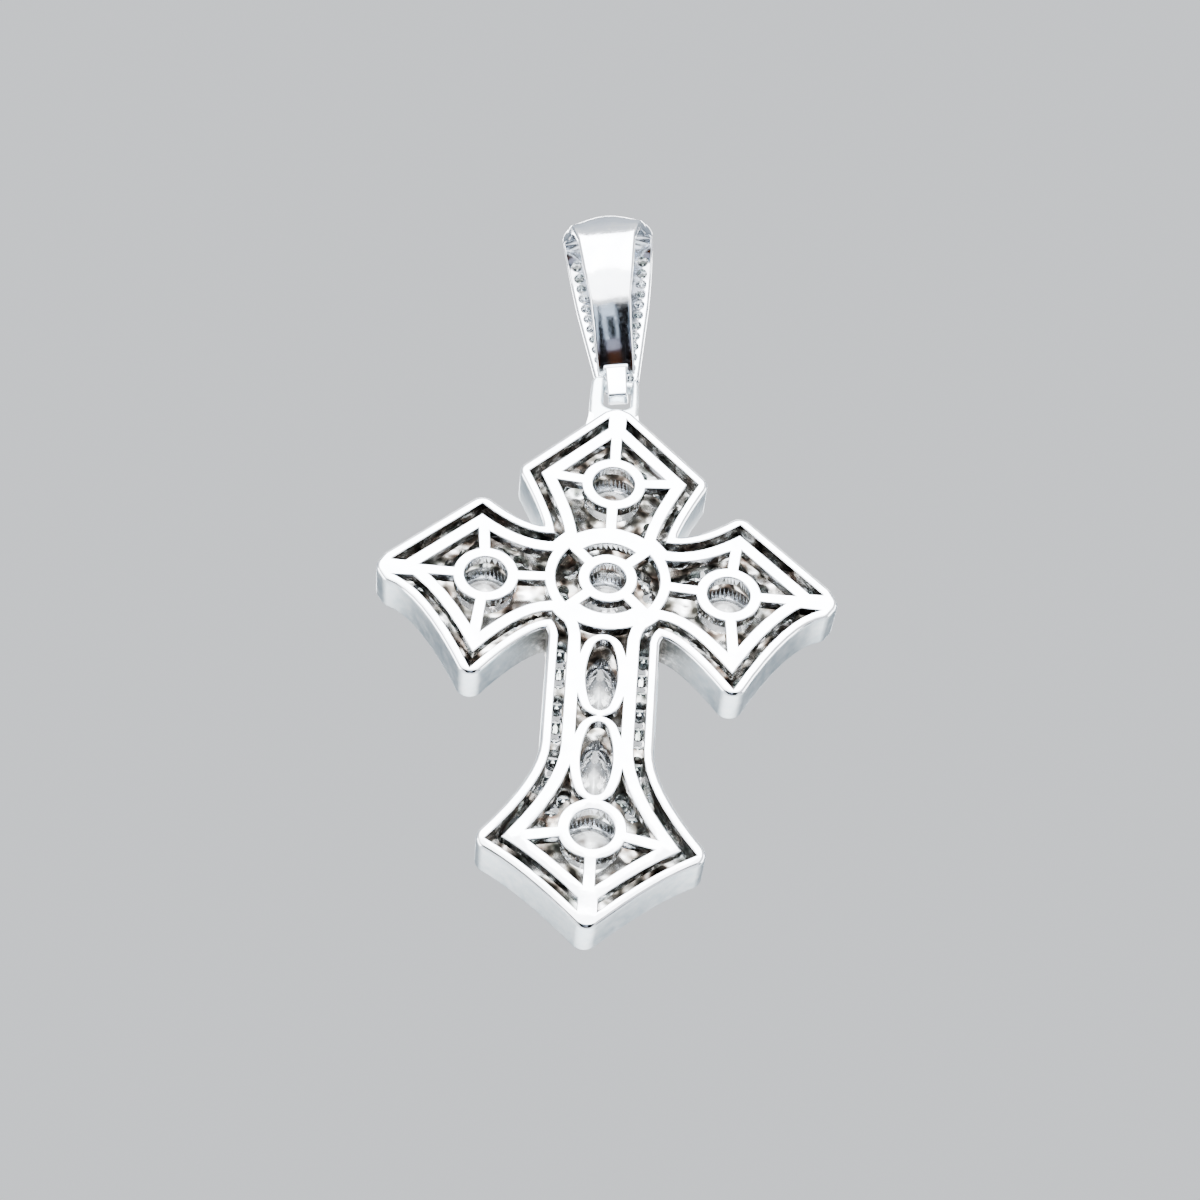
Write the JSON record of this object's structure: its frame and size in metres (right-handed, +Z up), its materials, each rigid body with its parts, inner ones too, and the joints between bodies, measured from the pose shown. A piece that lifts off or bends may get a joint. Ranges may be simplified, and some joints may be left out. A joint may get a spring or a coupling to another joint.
{
  "type": "cross pendant",
  "caption": "Pointed cross pendant with a deep pierced back, set with clear stones and hanging from a tapered stone-set bail.",
  "frame": {"origin": "inside the top of the bail, at the middle of its width and depth, where the chain bears", "axes": "+Z up, -Y out of the stone-set front, +Y out of the pierced back, +X to the left when the back is seen"},
  "size_m": [0.0325, 0.0077, 0.0621],
  "materials": {
    "metal": "polished",
    "stone": "polished"
  },
  "bodies": {
    "hanger": {"bail": "metal", "bail_stones": "stone"},
    "cross": {"cross_case": "metal", "pave_stones": "stone", "top_stone": "stone", "left_arm_stone": "stone", "right_arm_stone": "stone", "centre_stone": "stone", "foot_stone": "stone", "upper_marquise": "stone", "lower_marquise": "stone"}
  },
  "joints": [
    {"name": "cross_swing", "type": "hinge", "parent": "hanger", "child": "cross", "pos_m": [-0.00163, -0.00191, -0.01411], "axis": [1, 0, 0], "range_deg": [-75, 75]}
  ]
}
